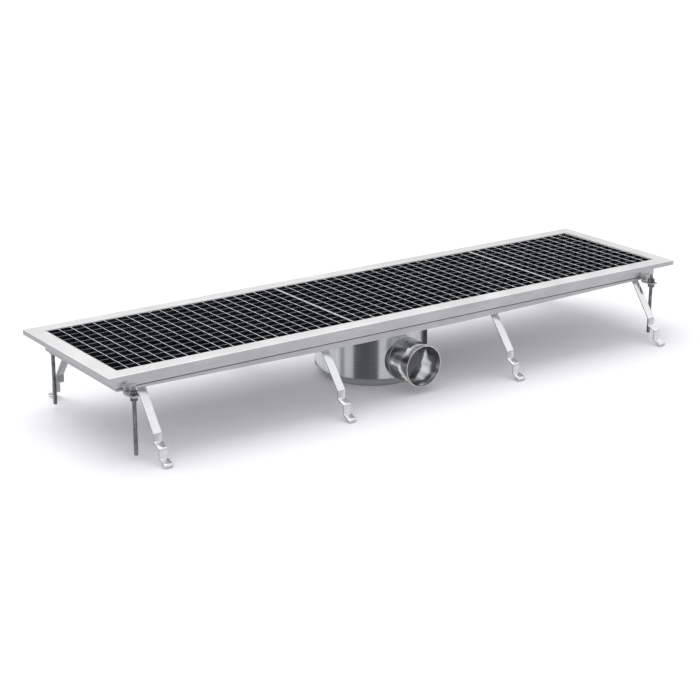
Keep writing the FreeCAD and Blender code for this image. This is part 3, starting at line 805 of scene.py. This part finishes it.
def rounded_path(points, radius):
    """The middle line with a curve in place of each bend. A curve takes no more than its share of the
    shorter leg beside it."""
    path = [Vector(points[0])]
    for before, bend, after in zip(points, points[1:], points[2:]):
        before, bend, after = Vector(before), Vector(bend), Vector(after)
        back = (before - bend).normalized()
        on = (after - bend).normalized()
        turn_angle = math.pi - back.angle(on)
        room = min((before - bend).length, (after - bend).length) * BEND_ROOM
        set_back = min(radius * math.tan(turn_angle / 2), room)
        start, end = bend + back * set_back, bend + on * set_back
        for step in range(BEND_STEPS + 1):
            share = step / BEND_STEPS
            path.append(start.lerp(bend, share).lerp(bend.lerp(end, share), share))
    path.append(Vector(points[-1]))
    return path


# %% Outline and solid of a strip
SHARPEST = 0.5


def strip(path, thickness):
    """The closed outline of a strip: up one side of its middle line and down the other. At a sharp bend
    the outline stays within a thickness of the line."""
    left, right = [], []
    for index, point in enumerate(path):
        before = path[max(index - 1, 0)]
        after = path[min(index + 1, len(path) - 1)]
        first = (point - before).normalized() if index else (after - point).normalized()
        second = (after - point).normalized() if index < len(path) - 1 else first
        along = (first + second).normalized()
        normal = Vector((-along.y, along.x))
        reach = thickness / 2 / max(normal.dot(Vector((-first.y, first.x))), SHARPEST)
        left.append(point + normal * reach)
        right.append(point - normal * reach)
    return left + right[::-1]


def extrude_outline(outline, low, high, start, mirror):
    """A solid between two X levels, from an outline in Y and Z. Mirror -1 turns it to the other side. Its
    two ends are closed by rungs from one side of the strip to the other."""
    count = len(outline)
    points = [(level, mirror * point.x, point.y) for level in (low, high) for point in outline]
    faces = []
    for index in range(count):
        beside = (index + 1) % count
        faces.append((start + index, start + beside, start + count + beside, start + count + index))
    for end in (0, count):
        for index in range(count // 2 - 1):
            faces.append((start + end + index, start + end + index + 1,
                          start + end + count - 2 - index, start + end + count - 1 - index))
    return points, faces


# %% [markdown]
# ## Anchor straps
# The straps are sawn from flat bar and bent in a press brake: a tab under the pan, a slanted leg, and a
# stepped end that the concrete grips. They differ only in where the tab meets the sloping pan. The stepped
# end is a list of runs: how far each goes out and how far it falls.

# %% Straps
STRAP_THICK = 3.0
STRAP_BEND = 4.5
STRAP_BEVEL = 0.4
TAB, TAB_INSET = 22.0, 4.0
KNEE_OUT, KNEE_HEIGHT = 66.0, 70.0
STEPPED_END = ((0.0, 20.0), (25.0, 9.5), (0.0, 25.0), (22.0, 7.0), (3.0, 6.0))
pan_side = pan_high.y / MM
tab_end = pan_side - TAB_INSET

for spot in ("outer_left", "inner_left", "inner_right", "outer_right"):
    for face_name, mirror in (("front", -1.0), ("back", 1.0)):
        node_name = "strap_%s_%s" % (face_name, spot)
        low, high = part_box(node_name)
        tab_level = high.z / MM - STRAP_THICK / 2
        line = [(tab_end - TAB, tab_level), (tab_end, tab_level), (pan_side + KNEE_OUT, KNEE_HEIGHT)]
        for run, fall in STEPPED_END:
            line.append((line[-1][0] + run, line[-1][1] - fall))
        outline = strip(rounded_path(line, STRAP_BEND), STRAP_THICK)
        points, faces = extrude_outline(outline, low.x / MM, high.x / MM, 0, mirror)
        strap = make_piece("anchor_%s_%s" % (face_name, spot), points, faces, STRAP_STEEL,
                           stands_for=(node_name,))
        soften(strap, STRAP_BEVEL)
print("straps: %d faces each, tab at %.1f mm" % (len(strap.data.polygons), tab_level))

# %% [markdown]
# ## Leg brackets
# Each bracket is a short folded angle, welded to the side wall by its upright leg, and its plate narrows
# towards its tip. Its hole is cut with a boolean, and a small bevel breaks its edges.

# %% Bracket plates
PLATE = 4.0
PLATE_TAPER = 0.45
HALF_WIDTH = 16.0
BRACKET_REACH = 38.0
BRACKET_BEND = 5.0
low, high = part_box("leg_brackets")
wall_face = high.y / MM - BRACKET_REACH
plate_level = low.z / MM + PLATE / 2
line = [(wall_face + PLATE / 2, high.z / MM), (wall_face + PLATE / 2, plate_level),
        (wall_face + BRACKET_REACH, plate_level)]
outline = strip(rounded_path(line, BRACKET_BEND), PLATE)
points, faces = [], []
for corner_name in CORNERS:
    centre = leg_axis[corner_name]
    middle = centre.x / MM
    more_points, more_faces = extrude_outline(outline, middle - HALF_WIDTH, middle + HALF_WIDTH,
                                              len(points), math.copysign(1.0, centre.y))
    for x, y, z in more_points:
        share = (abs(y) - wall_face) / BRACKET_REACH
        points.append((middle + (x - middle) * (1.0 - PLATE_TAPER * share), y, z))
    faces += more_faces
brackets = make_piece("brackets", points, faces, BRACKET_STEEL,
                      stands_for=("leg_brackets",))
print("brackets: %.0f mm wide at the wall, %.1f mm at the tip"
      % (2 * HALF_WIDTH, 2 * HALF_WIDTH * (1.0 - PLATE_TAPER)))

# %% Holes for the rods
HOLE_RADIUS = 5.5
DRILL_TIP = 0.01
DRILL_BELOW, DRILL_ABOVE = 5.0, 4.0
BRACKET_BEVEL = 0.5
drill_low, drill_high = low.z / MM - DRILL_BELOW, low.z / MM + PLATE + DRILL_ABOVE
drill = [(DRILL_TIP, drill_low), (HOLE_RADIUS, drill_low), (HOLE_RADIUS, drill_high),
         (DRILL_TIP, drill_high)]
points, faces = [], []
for corner_name in CORNERS:
    more_points, more_faces = ring_solid(leg_axis[corner_name], drill, len(points))
    points += more_points
    faces += more_faces
drill_object = add_object("drill", mesh_of("drill", points, faces))
cut = brackets.modifiers.new("hole", "BOOLEAN")
cut.operation = "DIFFERENCE"
cut.object = drill_object
cut.solver = "EXACT"
finish_modifiers(brackets)
bpy.data.objects.remove(drill_object)
soften(brackets, BRACKET_BEVEL)
print("brackets:", len(brackets.data.polygons), "faces")

# %% [markdown]
# ## The floor
# The floor is a wide plain sheet. It isn't part of the object. For the camera,
# part of its brightness is its own, which keeps it white in the picture, and part comes from the lamps,
# which draws the shadow. The metal sees a greyer floor, so that its undersides don't glow, with a pale
# stretch along both sides of the channel that brightens the mirror image in the tube and the straps.

# %% Floor
FLOOR_HALF = 30000.0
FLOOR_DROP = 0.5
PAPER, GLOW = (0.93, 0.92, 0.955), 0.03
GREY_PAPER, PALE_PAPER = (0.42, 0.42, 0.44), (0.85, 0.85, 0.87)
PALE_FROM, PALE_TO, PALE_END = (0.24, 0.30), (0.38, 0.46), (0.95, 1.05)
floor_corners = [(x * FLOOR_HALF, y * FLOOR_HALF, 0.0) for x, y in ((-1, -1), (1, -1), (1, 1), (-1, 1))]
floor = add_object("floor", mesh_of("floor", floor_corners, [(0, 1, 2, 3)]))
floor.location.z = -FLOOR_DROP * MM

paper = Graph(bpy.data.materials.new("floor_paper"))
across, deep, _ = paper.axes()
pale = abs(deep).spread(*PALE_FROM) * abs(deep).spread(*PALE_TO, 1.0, 0.0)
pale = pale * abs(across).spread(*PALE_END, 1.0, 0.0)
matt = paper.node("ShaderNodeBsdfDiffuse", inputs={"Color": PAPER})
glow = paper.node("ShaderNodeEmission", inputs={"Color": WHITE, "Strength": GLOW})
mirrored = paper.node("ShaderNodeBsdfDiffuse", inputs={"Color": paper.colour(pale, GREY_PAPER, PALE_PAPER)})
lit = paper.for_rays("Is Glossy Ray", mirrored, matt)
bright = paper.node("ShaderNodeAddShader", inputs={0: matt, 1: glow})
paper.node("ShaderNodeOutputMaterial", inputs={"Surface": paper.for_rays("Is Camera Ray", bright, lit)})
floor.data.materials.append(paper.owner)
print("floor: %.0f m wide" % (2 * FLOOR_HALF * MM))

# %% [markdown]
# ## Cards round the gully
# A polished cylinder is all reflections. A photographer stands white and black cards round it, just out
# of the picture, and the pot shows them as upright bands. Here they stand in a ring under the channel,
# and only reflections can see them. Each card is told by its two edges as angles round the pot, counted
# from the side of the camera, and faces in the way of the outlet tube are left out. A dark ring just
# inside the wall of the pot and a small bright card behind the outlet are what the bore of the tube shows,
# and a flat dim ring on the floor does the same for the foot of the pot.

# %% Card maker
def stand_card(name, points, faces, level):
    """A card with a plain light level that only reflections can see."""
    board = Graph(bpy.data.materials.new("card_" + name))
    light = board.node("ShaderNodeEmission", inputs={"Color": WHITE, "Strength": level})
    board.node("ShaderNodeOutputMaterial", inputs={"Surface": light})
    card = add_object("card_" + name, mesh_of("card_" + name, points, faces))
    card.data.materials.append(board.owner)
    card.visible_camera = False
    card.visible_diffuse = False
    card.visible_shadow = False


# %% Upright cards
CARD_RING, INSIDE_RING = 200.0, 146.5
CARD_TOP = 150.0
CARD_ROWS = 12
CARD_DEGREES = 3
TUBE_GAP = 2.0
CARDS = (
    ("left", -150, -41, 0.90, CARD_RING), ("left_gap", -41, -35, 0.34, CARD_RING),
    ("left_strip", -35, -22, 0.74, CARD_RING), ("camera", -22, 10, 0.12, CARD_RING),
    ("front", 10, 82, 0.87, CARD_RING), ("right", 82, 210, 0.04, CARD_RING),
    ("inside", -180, 180, 0.12, INSIDE_RING),
)
camera_side = math.degrees(math.atan2(camera.location.y, camera.location.x))


def meets_tube(ring, points):
    """Whether a face of a card in front of the pot has a corner within the tube or close to it."""
    nearest = min(math.hypot(points[corner][0] - pipe_axis[0] / MM, points[corner][2] - pipe_axis[1] / MM)
                  for corner in ring)
    return nearest <= outside + TUBE_GAP and points[ring[0]][1] <= 0


for name, start, end, level, ring_radius in CARDS:
    steps = max(2, (end - start) // CARD_DEGREES)
    points, faces = [], []
    for step in range(steps + 1):
        angle = math.radians(camera_side + start + (end - start) * step / steps)
        for row in range(CARD_ROWS + 1):
            points.append((ring_radius * math.cos(angle), ring_radius * math.sin(angle),
                           CARD_TOP * row / CARD_ROWS))
    for step in range(steps):
        for row in range(CARD_ROWS):
            here = step * (CARD_ROWS + 1) + row
            ring = (here, here + CARD_ROWS + 1, here + CARD_ROWS + 2, here + 1)
            if not meets_tube(ring, points):
                faces.append(ring)
    stand_card(name, points, faces, level)
print(len(CARDS), "upright cards, counted from", round(camera_side, 1), "degrees")

# %% Cards for the bore and the foot
PORT_X, PORT_Y, PORT_Z = (-20.0, 36.0), -142.0, (58.0, 106.0)
PORT_LEVEL = 0.8
FOOT_CARD = (130.0, 200.0)
FOOT_CARD_Z = 0.5
FOOT_LEVEL = 0.17
FOOT_STEPS = 48
(left, right), (low, high) = PORT_X, PORT_Z
stand_card("port", [(left, PORT_Y, low), (right, PORT_Y, low), (right, PORT_Y, high), (left, PORT_Y, high)],
           [(0, 1, 2, 3)], PORT_LEVEL)
points, faces = [], []
for step in range(FOOT_STEPS):
    angle = 2 * math.pi * step / FOOT_STEPS
    points += [(radius * math.cos(angle), radius * math.sin(angle), FOOT_CARD_Z) for radius in FOOT_CARD]
    here, beside = 2 * step, 2 * step + 2
    faces.append((here, here + 1, (beside + 1) % (2 * FOOT_STEPS), beside % (2 * FOOT_STEPS)))
stand_card("foot", points, faces, FOOT_LEVEL)
print("foot card from %.0f to %.0f mm" % FOOT_CARD)

# %% Update the scene
bpy.context.view_layer.update()
